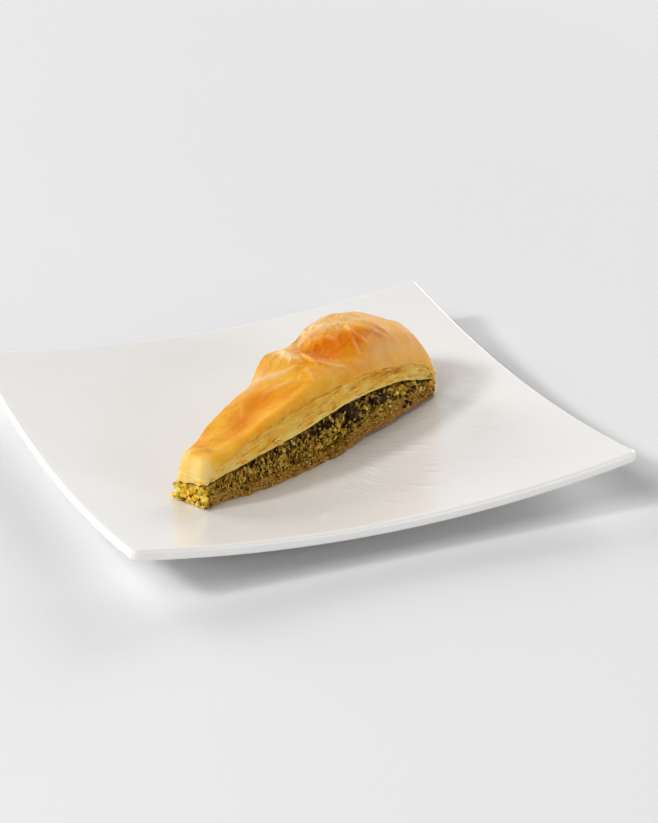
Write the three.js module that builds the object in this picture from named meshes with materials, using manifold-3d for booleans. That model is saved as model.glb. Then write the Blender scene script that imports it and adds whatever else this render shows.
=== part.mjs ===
// A carrot slice of baklava on a square coupe plate.
// Millimetres, +Z up, origin on the table under the middle of the plate, X and Y along the plate's sides.
// The slice is a narrow sector of a round tray: base layers, pistachio filling and puffed top layers.

import * as THREE from "three";
import { mergeVertices } from "three/addons/utils/BufferGeometryUtils.js";
import Module from "manifold-3d";

const wasm = await Module();
wasm.setup();

// Plate: a square of thick glazed stoneware, dished like a shallow bowl, so that its corners stand highest.
const PLATE_HALF_SIDE = 110;
const PLATE_SIDE_BOW = 1.06;
const PLATE_CORNER_RADIUS = 3;
const PLATE_THICKNESS = 4.7;
const RIM_TOP_ROUND = 1.7;
const RIM_BOTTOM_ROUND = 1;
const MID_EDGE_HEIGHT = 15.9;
const DISH_DEPTH = 9.72;
const ROUND_WELL_SHARE = 0.5;
const WELL_RINGS = [0.28, 0.52, 0.72, 0.88];
const UNDERSIDE_RINGS = [0.76, 0.42];
const ARC_DIVISIONS = 2;
const PLATE_SECTORS = 60;
const CORNER_SECTORS = 3;

// Foot ring under the plate, which stands on the table.
const FOOT_OUTER_RADIUS = 69;
const FOOT_INNER_RADIUS = 64.4;
const FOOT_FLARE = 1.6;
const FOOT_EDGE_ROUND = 0.8;
const FOOT_SINK = 2;

// Slice: a sector whose point is cut off, from the cut to the wall of the tray.
const TRAY_RADIUS = 229.7;
const CUT_RADIUS = 77.7;
const SLICE_LENGTH = TRAY_RADIUS - CUT_RADIUS;
const SLICE_ANGLE = THREE.MathUtils.degToRad(12.2);
const APEX = new THREE.Vector3(-130.5, -96.8, 0);
const NEAR_SIDE_HEADING = THREE.MathUtils.degToRad(27.1);
const TRAY_CORNER_RADIUS = 3.5;
const TIP_CORNER_RADIUS = 2.5;
const CORNER_RAMP = 30;
const LAYER_GAP = 0.3;

// Heights above the plate, as stations of distance from the cut tip and height.
// The base sags with the plate but bridges it a little at the middle of its length.
const BASE_LIFT = 1.1;
const BASE_START = 4.2;
const FILLING_BOTTOM = [[0, 5], [60, 4.4], [86, 4.6], [98, 6.6], [126, 7.6], [140, 6.3], [152, 5.4]];
const FILLING_TOP = [[0, 10.4], [8, 11.9], [20, 13.3], [40, 15.8], [60, 17.8], [90, 20.9],
  [110, 20], [126, 17.6], [139, 13.6], [152, 9.4]];
// The crust: its edge along the near side, its crown, and its edge along the far side.
const NEAR_EDGE = [[0, 16.4], [3, 18.2], [8, 20.4], [20, 24.8], [40, 30.8], [58, 34.6], [72, 36], [98, 33],
  [112, 29.8], [126, 26], [140, 22], [147, 18.6], [150.5, 15], [152, 12.4]];
const CROWN = [[0, 18], [3, 20.6], [8, 21.8], [16, 22.8], [28, 25.6], [40, 28.8], [52, 31.6], [64, 35.4],
  [72, 39], [80, 40.8], [92, 40.6], [100, 42], [108, 44.6], [116, 45.4], [125, 43.2], [134, 40],
  [142, 36.6], [147, 32.6], [150.5, 25], [152, 15]];
const FAR_EDGE = [[0, 17], [3, 18.4], [8, 19.2], [16, 21], [28, 25], [40, 28], [52, 30.2], [64, 32],
  [70, 37], [76, 40.2], [84, 39.8], [94, 37.2], [104, 36.8], [114, 37.8], [124, 34.4], [136, 28],
  [146, 20.8], [150.5, 15.6], [152, 12.8]];
// How far the puffed top sheets roll down over the near cut side, and the share of the width they roll in.
const NEAR_ROLL = [[0, 1.2], [14, 1.8], [30, 2.8], [50, 4], [76, 4.4], [92, 2.6], [104, 0.7], [152, 0.4]];
const ROLL_SHARE = 0.09;
const NEAR_SHOULDER = 0.42;
const FAR_SHOULDER = 0.28;
const SHOULDER_POWER = 2.2;
// Bumps and dents of the puffed crust: distance from the tip, share of the width, spread along and
// across, and rise.
const CRUST_SWELLS = [
  [92, 0.42, 9, 8, -2.2], [78, 0.66, 5, 7, 1.3], [104, 0.62, 6, 8, 1.2], [43, 0.48, 11, 4, -1.2],
  [30, 0.3, 8, 3, -0.6], [60, 0.5, 6, 6, 0.9], [112, 0.24, 7, 5, 0.9], [128, 0.4, 7, 7, -0.8],
  [17, 0.55, 4, 3, 0.7], [135, 0.65, 6, 6, 0.8], [96, 0.8, 5, 5, -0.8],
];
// Ledges of the layers along the cut faces: the base's from the plate up, and the top layers' from the
// filling up to the crust's lip.
const BASE_LEDGES = [0, 0.5, -0.1, 0.2];
const LAYER_LEDGES = [0, 0.5, -0.35, 0.4, -0.3, 0.35, 0.9];

// Crushed pistachios on the filling's open faces.
const CORE_INSET = 1;
const TIP_TOE_LENGTH = 2.9;
const TIP_TOE_INSET = 0.3;
const GRAIN_SEED = 20;
const CHUNK_RADII = [1.7, 2.5];
const CHIP_RADII = [1.3, 2];
const CHUNK_SHARE = 0.3;
const GRAIN_SINK = 0.2;
const GRAIN_SCATTER = 0.7;
const SIDE_GRAIN_STEP = 4.3;
const GRAIN_ROW_STEP = 3.9;
const END_GRAIN_COLUMNS = 10;
const TIP_GRAIN_COLUMNS = 5;

const GLAZE = new THREE.MeshStandardMaterial({ color: 0xebe8e2, roughness: 0.25, metalness: 0 });
const SOAKED_PASTRY = new THREE.MeshStandardMaterial({ color: 0x8a5a22, roughness: 0.35, metalness: 0 });
const PISTACHIO = new THREE.MeshStandardMaterial({ color: 0x6e6a1c, roughness: 0.6, metalness: 0 });
const CRUST = new THREE.MeshStandardMaterial({ color: 0xe59a3c, roughness: 0.3, metalness: 0 });

// Smooth height through stations of distance and height.
function heightAt(stations, distance) {
  const last = stations.length - 2;
  let i = 0;
  while (i < last && distance > stations[i + 1][0]) i += 1;
  const slope = (n) => (stations[n + 1][1] - stations[n][1]) / (stations[n + 1][0] - stations[n][0]);
  const startSlope = i > 0 ? (slope(i - 1) + slope(i)) / 2 : slope(i);
  const endSlope = i < last ? (slope(i) + slope(i + 1)) / 2 : slope(i);
  const [x0, y0] = stations[i];
  const [x1, y1] = stations[i + 1];
  const span = x1 - x0;
  const t = THREE.MathUtils.clamp((distance - x0) / span, 0, 1);
  const rise = (3 - 2 * t) * t * t;
  return y0 * (1 - rise) + y1 * rise + span * t * (1 - t) * (startSlope * (1 - t) - endSlope * t);
}

// Height of the plate's upper surface over the table.
function dishHeight(x, y) {
  const reach = (x * x + y * y) / (PLATE_HALF_SIDE * PLATE_HALF_SIDE);
  return MID_EDGE_HEIGHT + DISH_DEPTH * (reach - 1);
}

// A box of unit size, divided along, across and up, whose every point is then put in its place.
function shapedBlock(along, across, up, place) {
  const box = new THREE.BoxGeometry(1, 1, 1, along, across, up);
  box.translate(0.5, 0.5, 0.5);
  return placed(box, place);
}

function placed(geometry, place) {
  geometry.deleteAttribute("normal");
  geometry.deleteAttribute("uv");
  const merged = mergeVertices(geometry);
  const position = merged.getAttribute("position");
  const point = new THREE.Vector3();
  for (let i = 0; i < position.count; i += 1) {
    place(point.fromBufferAttribute(position, i));
    position.setXYZ(i, point.x, point.y, point.z);
  }
  return merged;
}

function solidOf(geometry) {
  const vertProperties = new Float32Array(geometry.getAttribute("position").array);
  const triVerts = new Uint32Array(geometry.getIndex().array);
  return new wasm.Manifold(new wasm.Mesh({ numProp: 3, vertProperties, triVerts }));
}

// The largest body of a solid, without loose scraps and closed-in bubbles.
function geometryOf(solid) {
  const bodies = solid.decompose().sort((a, b) => b.volume() - a.volume());
  const mesh = bodies[0].getMesh();
  const geometry = new THREE.BufferGeometry();
  geometry.setAttribute("position", new THREE.BufferAttribute(mesh.vertProperties, 3));
  geometry.setIndex(new THREE.BufferAttribute(mesh.triVerts, 1));
  return geometry;
}

function named(name, geometry, material) {
  geometry.computeVertexNormals();
  const mesh = new THREE.Mesh(geometry, material);
  mesh.name = name;
  return mesh;
}

// A point of the plate's outline. Sectors are equal turns of a circle, with a few of them in each corner arc.
function outlinePoint(turn) {
  const quarter = Math.round(turn / (Math.PI / 2) - 0.5);
  const sectorsPerQuarter = PLATE_SECTORS / 4;
  const corner = (quarter + 0.5) * (Math.PI / 2);
  const sectorsFromCorner = (turn - corner) / (Math.PI / 2) * sectorsPerQuarter;
  const arcHalf = CORNER_SECTORS / 2;
  const straight = PLATE_HALF_SIDE - PLATE_CORNER_RADIUS;
  const point = new THREE.Vector2();
  const beyond = Math.abs(sectorsFromCorner) - arcHalf;
  if (beyond <= 0) {
    const bearing = Math.PI / 4 + sectorsFromCorner / arcHalf * Math.PI / 4;
    point.set(Math.cos(bearing), Math.sin(bearing)).multiplyScalar(PLATE_CORNER_RADIUS);
    point.addScalar(straight);
  } else {
    const alongSide = straight * (1 - beyond / (sectorsPerQuarter / 2 - arcHalf));
    const bow = PLATE_SIDE_BOW * (1 - (alongSide / straight) ** 2);
    point.set(PLATE_HALF_SIDE + bow, alongSide);
    if (sectorsFromCorner > 0) point.set(point.y, point.x);
  }
  return point.rotateAround(new THREE.Vector2(), corner - Math.PI / 4);
}

// The plate is turned as a disc, then its outer part is drawn out to the square outline and it is dished.
function plateGeometry() {
  const profile = new THREE.Path();
  profile.moveTo(0, 0);
  for (const share of WELL_RINGS) profile.lineTo(share * PLATE_HALF_SIDE, 0);
  profile.lineTo(PLATE_HALF_SIDE - RIM_TOP_ROUND, 0);
  profile.absarc(PLATE_HALF_SIDE - RIM_TOP_ROUND, -RIM_TOP_ROUND, RIM_TOP_ROUND, Math.PI / 2, 0, true);
  profile.lineTo(PLATE_HALF_SIDE, RIM_BOTTOM_ROUND - PLATE_THICKNESS);
  profile.absarc(PLATE_HALF_SIDE - RIM_BOTTOM_ROUND, RIM_BOTTOM_ROUND - PLATE_THICKNESS, RIM_BOTTOM_ROUND,
    0, -Math.PI / 2, true);
  for (const share of UNDERSIDE_RINGS) profile.lineTo(share * PLATE_HALF_SIDE, -PLATE_THICKNESS);
  profile.lineTo(0, -PLATE_THICKNESS);
  const turned = new THREE.LatheGeometry(profile.getPoints(ARC_DIVISIONS).reverse(), PLATE_SECTORS);
  turned.rotateX(Math.PI / 2);
  return placed(turned, (point) => {
    const below = point.z;
    const radius = Math.hypot(point.x, point.y);
    if (radius > 1e-6) {
      const share = radius / PLATE_HALF_SIDE;
      const squareness = THREE.MathUtils.smoothstep(share, ROUND_WELL_SHARE, 1);
      const outline = outlinePoint(Math.atan2(point.y, point.x)).multiplyScalar(share);
      point.set(
        THREE.MathUtils.lerp(point.x, outline.x, squareness),
        THREE.MathUtils.lerp(point.y, outline.y, squareness),
        0,
      );
    }
    point.z = dishHeight(point.x, point.y) + below;
  });
}

function footGeometry() {
  const top = dishHeight(FOOT_OUTER_RADIUS, 0) - PLATE_THICKNESS + FOOT_SINK;
  const profile = [
    [FOOT_INNER_RADIUS + FOOT_EDGE_ROUND, 0], [FOOT_OUTER_RADIUS - FOOT_EDGE_ROUND, 0],
    [FOOT_OUTER_RADIUS, FOOT_EDGE_ROUND], [FOOT_OUTER_RADIUS + FOOT_FLARE, top],
    [FOOT_INNER_RADIUS - FOOT_FLARE, top], [FOOT_INNER_RADIUS, FOOT_EDGE_ROUND],
    [FOOT_INNER_RADIUS + FOOT_EDGE_ROUND, 0],
  ].map(([radius, height]) => new THREE.Vector2(radius, height));
  const ring = new THREE.LatheGeometry(profile, PLATE_SECTORS);
  ring.rotateX(Math.PI / 2);
  return placed(ring, () => {});
}

const slice = new THREE.Group();
slice.position.copy(APEX);
slice.rotation.z = NEAR_SIDE_HEADING;
slice.updateMatrixWorld();

// Puts a point of the slice at a distance from the cut tip, a share of the width from the near side,
// a distance beyond the cut faces and a height above the plate.
function placeInSlice(point, distance, share, beyond, height) {
  const fromMiddle = 2 * share - 1;
  const lengthwise = distance + beyond * (2 * distance / SLICE_LENGTH - 1);
  const radius = CUT_RADIUS + lengthwise;
  const corner = (cornerRadius, ramp) => {
    const cornerShare = Math.min(1, 2 * cornerRadius / (radius * SLICE_ANGLE));
    const into = THREE.MathUtils.clamp((Math.abs(fromMiddle) - 1 + cornerShare) / cornerShare, 0, 1);
    return cornerRadius * (1 - Math.sqrt(1 - into * into)) * ramp * ramp * (3 - 2 * ramp);
  };
  const trayRamp = THREE.MathUtils.clamp((distance - SLICE_LENGTH) / CORNER_RAMP + 1, 0, 1);
  const tipRamp = THREE.MathUtils.clamp(1 - distance / CORNER_RAMP, 0, 1);
  const rounded = radius - corner(TRAY_CORNER_RADIUS, trayRamp) + corner(TIP_CORNER_RADIUS, tipRamp);
  const bearing = SLICE_ANGLE * share + beyond * fromMiddle / radius;
  point.set(rounded * Math.cos(bearing), rounded * Math.sin(bearing), 0);
  const onPlate = slice.localToWorld(point.clone());
  point.z = dishHeight(onPlate.x, onPlate.y) + height;
  return point;
}

// Divisions drawn towards both ends, by a share of the full easing.
function crowded(t, ease) {
  return t - ease * Math.sin(2 * Math.PI * t) / (2 * Math.PI);
}

function baseBottom(distance) {
  return LAYER_GAP + BASE_LIFT * Math.sin(Math.PI * distance / SLICE_LENGTH) ** 2;
}

function crustHeight(distance, share) {
  const near = heightAt(NEAR_EDGE, distance);
  const far = heightAt(FAR_EDGE, distance);
  const edge = THREE.MathUtils.lerp(near, far, share);
  const nearRise = 1 - (1 - Math.min(1, share / NEAR_SHOULDER)) ** SHOULDER_POWER;
  const farRise = 1 - (1 - Math.min(1, (1 - share) / FAR_SHOULDER)) ** SHOULDER_POWER;
  const width = (CUT_RADIUS + distance) * SLICE_ANGLE;
  let height = THREE.MathUtils.lerp(edge, heightAt(CROWN, distance), Math.min(nearRise, farRise));
  const intoRoll = 1 - Math.min(1, share / ROLL_SHARE);
  height -= heightAt(NEAR_ROLL, distance) * (1 - Math.sqrt(1 - intoRoll * intoRoll));
  for (const [at, across, spread, crossSpread, rise] of CRUST_SWELLS) {
    const away = ((distance - at) / spread) ** 2 + ((share - across) * width / crossSpread) ** 2;
    height += rise * Math.exp(-away);
  }
  return height;
}

function topLayersGeometry() {
  return shapedBlock(46, 12, LAYER_LEDGES.length - 1, (point) => {
    const distance = SLICE_LENGTH * crowded(point.x, 0.6);
    const share = crowded(point.y, 0.75);
    const row = Math.round(point.z * (LAYER_LEDGES.length - 1));
    const bottom = heightAt(FILLING_TOP, distance) + LAYER_GAP / 2;
    const height = THREE.MathUtils.lerp(bottom, crustHeight(distance, share), point.z);
    const waver = 0.6 + 0.4 * Math.sin(distance / 7 + row * 2.1 + share * 3);
    placeInSlice(point, distance, share, LAYER_LEDGES[row] * waver, height);
  });
}

function baseLayersGeometry() {
  return shapedBlock(34, 4, BASE_LEDGES.length - 1, (point) => {
    const distance = BASE_START + (SLICE_LENGTH - BASE_START) * crowded(point.x, 0.5);
    const row = Math.round(point.z * (BASE_LEDGES.length - 1));
    const top = heightAt(FILLING_BOTTOM, distance) - LAYER_GAP / 2;
    const height = THREE.MathUtils.lerp(baseBottom(distance), top, point.z);
    const waver = 0.5 + 0.5 * Math.sin(distance / 5 + row);
    placeInSlice(point, distance, point.y, BASE_LEDGES[row] * waver, height);
  });
}

// Repeatable random numbers from 0 to 1.
function seededRandom(seed) {
  let state = seed;
  return () => {
    state = (state * 1664525 + 1013904223) % 4294967296;
    return state / 4294967296;
  };
}

// One crushed pistachio, a blunt chunk or a sharp chip, held between a floor and a ceiling.
function grainSolid(random, distance, share, beyond, height, floor, ceiling) {
  const isChunk = random() < CHUNK_SHARE;
  const [smallest, largest] = isChunk ? CHUNK_RADII : CHIP_RADII;
  const radius = THREE.MathUtils.lerp(smallest, largest, random());
  const flatness = 0.65 + 0.35 * random();
  const turn = new THREE.Euler(random() * Math.PI, random() * Math.PI, random() * Math.PI);
  const reach = Math.min(radius, (ceiling - floor) / 2);
  const centre = placeInSlice(new THREE.Vector3(), distance, share, beyond,
    THREE.MathUtils.clamp(height, floor + reach, ceiling - reach));
  const grain = isChunk ? new THREE.IcosahedronGeometry(reach, 0) : new THREE.OctahedronGeometry(reach, 0);
  grain.scale(1, flatness, 0.9);
  return solidOf(placed(grain, (point) => point.applyEuler(turn).add(centre)));
}

function fillingLimits(distance) {
  const clearance = LAYER_GAP / 2 + 0.35;
  const ceiling = Math.min(heightAt(FILLING_TOP, distance - 2), heightAt(FILLING_TOP, distance + 2));
  const floor = Math.max(heightAt(FILLING_BOTTOM, distance - 2), heightAt(FILLING_BOTTOM, distance + 2));
  return [floor + clearance, ceiling - clearance];
}

function fillingGeometry() {
  const random = seededRandom(GRAIN_SEED);
  let solid = solidOf(shapedBlock(30, 4, 1, (point) => {
    const distance = SLICE_LENGTH * crowded(point.x, 0.5);
    const bottom = heightAt(FILLING_BOTTOM, distance) + LAYER_GAP / 2;
    const top = heightAt(FILLING_TOP, distance) - LAYER_GAP / 2;
    placeInSlice(point, distance, point.y, -CORE_INSET, THREE.MathUtils.lerp(bottom, top, point.z));
  }));
  const addColumn = (distance, share, proud, floor, ceiling) => {
    const rows = Math.max(1, Math.round((ceiling - floor) / GRAIN_ROW_STEP));
    for (let row = 0; row < rows; row += 1) {
      const height = THREE.MathUtils.lerp(floor, ceiling, (row + 0.2 + 0.6 * random()) / rows);
      const beyond = proud + GRAIN_SCATTER * random();
      solid = solid.add(grainSolid(random, distance, share, beyond, height, floor, ceiling));
    }
  };
  for (const side of [0, 1]) {
    for (let distance = 3; distance < SLICE_LENGTH - 4; distance += SIDE_GRAIN_STEP) {
      const shifted = distance + random() * SIDE_GRAIN_STEP * 0.5;
      addColumn(shifted, side, GRAIN_SINK - CORE_INSET, ...fillingLimits(shifted));
    }
  }
  for (let column = 0; column < END_GRAIN_COLUMNS; column += 1) {
    const share = (column + 0.2 + 0.6 * random()) / END_GRAIN_COLUMNS;
    addColumn(SLICE_LENGTH, share, GRAIN_SINK - CORE_INSET, ...fillingLimits(SLICE_LENGTH));
  }
  const toe = solidOf(shapedBlock(1, 4, 1, (point) => {
    const height = THREE.MathUtils.lerp(LAYER_GAP, heightAt(FILLING_TOP, 0) - 1, point.z);
    placeInSlice(point, point.x * TIP_TOE_LENGTH, point.y, -TIP_TOE_INSET, height);
  }));
  solid = solid.add(toe);
  for (let column = 0; column < TIP_GRAIN_COLUMNS; column += 1) {
    const share = (column + 0.2 + 0.6 * random()) / TIP_GRAIN_COLUMNS;
    addColumn(0, share, GRAIN_SINK - TIP_TOE_INSET, LAYER_GAP + 0.1, fillingLimits(0)[1]);
  }
  return geometryOf(solid);
}

const plate = named("plate", geometryOf(solidOf(plateGeometry()).add(solidOf(footGeometry()))), GLAZE);
slice.add(named("base_layers", baseLayersGeometry(), SOAKED_PASTRY));
slice.add(named("nut_filling", fillingGeometry(), PISTACHIO));
slice.add(named("top_layers", topLayersGeometry(), CRUST));

const model = new THREE.Group();
model.add(plate, slice);

export default model;
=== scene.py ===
import random
from math import cos, pi, radians, sin, tau

import bmesh
import bpy
import numpy as np
from mathutils import Euler, Matrix, Vector, noise


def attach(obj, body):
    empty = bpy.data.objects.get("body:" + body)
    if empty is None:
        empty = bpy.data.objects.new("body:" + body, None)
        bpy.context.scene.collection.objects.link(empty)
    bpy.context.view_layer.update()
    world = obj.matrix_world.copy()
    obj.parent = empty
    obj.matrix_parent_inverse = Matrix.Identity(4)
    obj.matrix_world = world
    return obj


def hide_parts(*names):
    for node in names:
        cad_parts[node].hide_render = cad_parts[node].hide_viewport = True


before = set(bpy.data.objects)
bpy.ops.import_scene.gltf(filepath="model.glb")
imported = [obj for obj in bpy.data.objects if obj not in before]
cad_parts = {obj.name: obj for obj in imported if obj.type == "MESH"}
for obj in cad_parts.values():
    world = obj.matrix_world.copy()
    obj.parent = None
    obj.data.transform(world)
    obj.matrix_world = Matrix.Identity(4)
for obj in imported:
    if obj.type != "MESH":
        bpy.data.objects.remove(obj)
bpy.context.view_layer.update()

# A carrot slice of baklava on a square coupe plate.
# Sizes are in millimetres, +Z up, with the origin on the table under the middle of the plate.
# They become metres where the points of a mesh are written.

MM = 0.001

# Plate: a square of thick glazed stoneware, dished like a shallow bowl, so that its corners stand highest.
PLATE_HALF_SIDE = 110
PLATE_SIDE_BOW = 1.06
PLATE_CORNER_RADIUS = 3
PLATE_THICKNESS = 4.7
RIM_TOP_ROUND = 1.7
RIM_BOTTOM_ROUND = 1
MID_EDGE_HEIGHT = 15.9
DISH_DEPTH = 9.72
ROUND_WELL_SHARE = 0.5
CORNER_ARC_SHARE = 0.2
PLATE_SECTORS = 960

# Short radial strokes that the turning left in the well, under the glaze: how many, where they begin,
# how long, wide and high they are, and the bearing where they are strongest.
STROKES = 700
STROKE_START = (14, 88)
STROKE_LENGTH = (3, 12)
STROKE_WIDTH = (0.5, 1.3)
STROKE_RISE = (0.04, 0.2)
STROKES_STRONGEST = radians(-20)

# Foot ring under the plate, which stands on the table.
FOOT_OUTER_RADIUS = 69
FOOT_INNER_RADIUS = 64.4
FOOT_FLARE = 1.6
FOOT_EDGE_ROUND = 0.8
FOOT_SINK = 2
FOOT_SECTORS = 180

# Slice: a sector whose point is cut off, from the cut to the wall of the tray.
TRAY_RADIUS = 229.7
CUT_RADIUS = 77.7
SLICE_LENGTH = TRAY_RADIUS - CUT_RADIUS
SLICE_ANGLE = radians(12.2)
APEX = (-130.5, -96.8)
NEAR_SIDE_HEADING = radians(27.1)
TRAY_CORNER_RADIUS = 3.5
CORNER_RAMP = 30

# Corner radii at the cut tip, of the nuts and of the crust over them, and the heights between which one
# becomes the other. The tip is cut aslant: its near corner stands out by the slant, and its far corner
# is as far in.
TIP_CORNER_RADII = (1.8, 4.5)
TIP_CORNER_HEIGHTS = (8, 13)
TIP_SLANT = 2

# Gap between two layers, and where the base begins behind the nuts of the tip.
LAYER_GAP = 0.3
BASE_START = 4.2

# Heights above the plate, as stations of distance from the cut tip and height.
BASE_LIFT = [(0, 0), (80, 0), (90, 0.1), (99, 0.8), (122, 0.8), (134, 1.3), (152, 0.3)]
FILLING_BOTTOM = [(0, 5), (60, 4.4), (86, 4.6), (98, 6.6), (126, 7.6), (140, 6.3), (152, 5.4)]
FILLING_TOP = [(0, 10.4), (8, 11.9), (20, 13.3), (40, 15.8), (60, 17.8), (90, 20.9), (110, 20),
               (126, 17.6), (139, 13.6), (152, 9.4)]
NEAR_EDGE = [(0, 16.4), (3, 18.2), (8, 20.4), (20, 24.8), (40, 30.8), (58, 34.6), (72, 36), (98, 33),
             (112, 29.8), (126, 26), (140, 22), (147, 18.6), (150.5, 15), (152, 12.4)]
CROWN = [(0, 18), (3, 20.6), (8, 21.8), (16, 22.8), (28, 25.6), (40, 28.8), (52, 31.6), (64, 35.4),
         (72, 39), (80, 40.8), (92, 40.6), (100, 42), (108, 44.6), (116, 45.4), (125, 43.2), (134, 40),
         (142, 36.6), (147, 32.6), (150.5, 25), (152, 15)]
FAR_EDGE = [(0, 17), (3, 18.4), (8, 19.2), (16, 21), (28, 25), (40, 28), (52, 30.2), (64, 32), (70, 37),
            (76, 40.2), (84, 39.8), (94, 37.2), (104, 36.8), (114, 37.8), (124, 34.4), (136, 28),
            (146, 20.8), (150.5, 15.6), (152, 12.8)]

# How far the puffed top sheets roll down over the near cut side, the share of the width they roll in,
# and how many times as wide the roll is at the tip.
NEAR_ROLL = [(0, 2.6), (14, 2.8), (30, 3.4), (50, 4.2), (76, 4.4), (92, 2.6), (104, 0.7), (152, 0.4)]
ROLL_SHARE = 0.09
TIP_ROLL_WIDER = 2.4
NEAR_SHOULDER = 0.42
FAR_SHOULDER = 0.28
SHOULDER_POWER = 2.2

# The skin's round over the cut tip: how long it is, and how far it falls.
TIP_ROUND = (5, 2.6)

# Bumps and dents of the puffed crust: distance from the tip, share of the width, spread along and
# across, and rise.
CRUST_SWELLS = [
    (92, 0.42, 9, 8, -1.4), (78, 0.66, 5, 7, 1.3), (104, 0.62, 6, 8, 1.2), (43, 0.48, 11, 4, -1.2),
    (30, 0.3, 8, 3, -0.6), (60, 0.5, 6, 6, 0.9), (112, 0.24, 7, 5, 0.9), (128, 0.4, 7, 7, -0.8),
    (17, 0.55, 4, 3, 0.7), (135, 0.65, 6, 6, 0.8), (96, 0.8, 5, 5, -0.8),
]

# Folds pinched up in the top sheet: three places as distance and share of the width, then the fold's
# half width and its rise.
FOLDS = [
    ((107, 0.84), (105, 0.70), (109, 0.56), 0.8, 0.7),
    ((109, 0.58), (114, 0.49), (114, 0.38), 1.0, 0.7),
    ((113, 0.48), (105, 0.30), (111, 0.13), 0.8, 1.0),
    ((114, 0.38), (112, 0.22), (126, 0.15), 0.8, 1.0),
    ((110, 0.36), (104, 0.24), (104, 0.10), 0.8, 0.6),
    ((117, 0.52), (123, 0.34), (128, 0.15), 1.0, 0.8),
    ((100, 0.62), (104, 0.49), (101, 0.35), 0.7, 0.6),
    ((3, 0.80), (9, 0.48), (14, 0.14), 1.2, 0.5),
    ((97, 0.84), (98, 0.70), (102, 0.56), 1.2, 0.4),
    ((87, 0.64), (79, 0.43), (82, 0.24), 0.8, 1.0),
    ((83, 0.27), (83, 0.14), (92, 0.07), 0.7, 0.8),
    ((86, 0.94), (79, 0.78), (77, 0.52), 1.5, 1.0),
    ((76, 0.36), (73, 0.20), (70, 0.06), 0.8, 0.3),
    ((64, 0.95), (62, 0.68), (75, 0.44), 1.5, 0.8),
    ((54, 0.60), (62, 0.43), (71, 0.27), 1.3, 0.35),
    ((50, 0.90), (43, 0.66), (36, 0.50), 0.8, 0.15),
    ((125, 0.20), (124, 0.11), (122, 0.04), 0.9, 0.16),
    ((129, 0.20), (130, 0.11), (131, 0.04), 1.0, 0.2),
    ((141, 0.24), (140, 0.12), (138, 0.04), 1.1, 0.2),
    ((116, 0.80), (124, 0.72), (133, 0.60), 1.3, 0.6),
    ((92, 0.95), (104, 0.88), (116, 0.92), 1.2, 0.7),
]

# Colour of the crust: where it is baked deeper (above 0) or paler, placed as the swells are. Some patches are
# painted light: the narrow deep ones beside the folds near the crown are painted shade, and the pale ones on
# the crown's ridges are painted highlights.
CRUST_BAKE_AND_PAINTED_LIGHT = [
    (92, 0.42, 12, 10, 0.42), (102, 0.46, 8, 8, 0.26), (108, 0.28, 6, 4, 0.42), (120, 0.21, 6, 2.4, 0.36),
    (48, 0.58, 12, 5, 0.30), (32, 0.44, 8, 4, 0.24), (20, 0.42, 6, 4, 0.04), (0, 0.50, 4.5, 20, -0.36),
    (12, 0.20, 8, 3, -0.16), (79, 0.70, 4, 6, -0.42), (66, 0.60, 6, 8, -0.16), (128, 0.12, 16, 7, 0.08),
    (107, 0.72, 4, 9, -0.34), (112, 0.56, 4, 4, -0.20), (62, 0.32, 9, 4, 0.12), (84, 0.14, 8, 4, -0.04),
    (108, 0.24, 1.6, 3, 0.34), (105, 0.17, 1.4, 2.4, 0.30), (117, 0.26, 2.2, 2, 0.34),
    (121, 0.19, 2.2, 1.6, 0.34), (10, 0.44, 2.4, 4, 0.26), (25, 0.62, 7, 4, -0.16),
]

# Where a pale film lies over the crust, placed in the same way. Partly it is painted light: the pale pink
# along the crown's far edge is a painted sheen, and the pale patches on the crown's ridges are painted
# highlights.
CRUST_FILM_AND_PAINTED_SHEEN = [
    (112, 0.92, 24, 7, 0.95), (148, 0.50, 8, 24, 0.65), (124, 0.52, 13, 8, 0.64), (124, 0.06, 20, 4, 0.36),
    (86, 0.12, 14, 4, 0.16), (66, 0.66, 7, 5, 0.24), (107, 0.68, 5, 7, 0.56), (60, 0.88, 9, 3, 0.40),
    (79, 0.66, 3, 7, 0.50), (92, 0.44, 12, 10, -0.50), (108, 0.28, 7, 4, -0.30),
]

# Colour of the cut sides of the upper layers: distance, share of the height, spreads in distance and
# in share, and how much more golden.
SIDE_BAKE = [
    (116, 0.74, 14, 0.24, 0.60), (79, 0.42, 5, 0.14, 0.34), (70, 0.38, 4, 0.12, 0.26),
    (88, 0.36, 4, 0.12, 0.22), (38, 0.40, 4, 0.14, 0.24), (45, 0.46, 5, 0.12, 0.20),
    (30, 0.38, 4, 0.16, 0.20), (60, 0.84, 20, 0.16, 0.22), (137, 0.60, 6, 0.40, -0.22),
    (4, 0.50, 6, 0.60, -0.18), (75, 0.06, 60, 0.10, -0.16),
]

# Dark skins and whole kernels in the filling: distance, height, spread along and up, and how many.
DARK_PLACES = [
    (95, 16, 6, 5, 1.0), (114, 15.5, 7, 3.6, 1.0), (136, 11, 4, 3.4, 0.8), (48, 12.4, 9, 1.1, 0.7),
    (66, 14.2, 9, 1.3, 0.8), (80, 16.2, 8, 1.6, 0.8), (30, 11.2, 7, 1.0, 0.5), (88, 19.4, 5, 1.4, 0.8),
]

CAMERA_PLACE = (-0.36839, -0.92394, 0.45684)
CAMERA_HEADING = radians(22.712)
CAMERA_PITCH = radians(23.765)
CAMERA_ROLL = radians(-0.768)
CAMERA_LENS = 109.65
FILM_HEIGHT = 36


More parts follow.
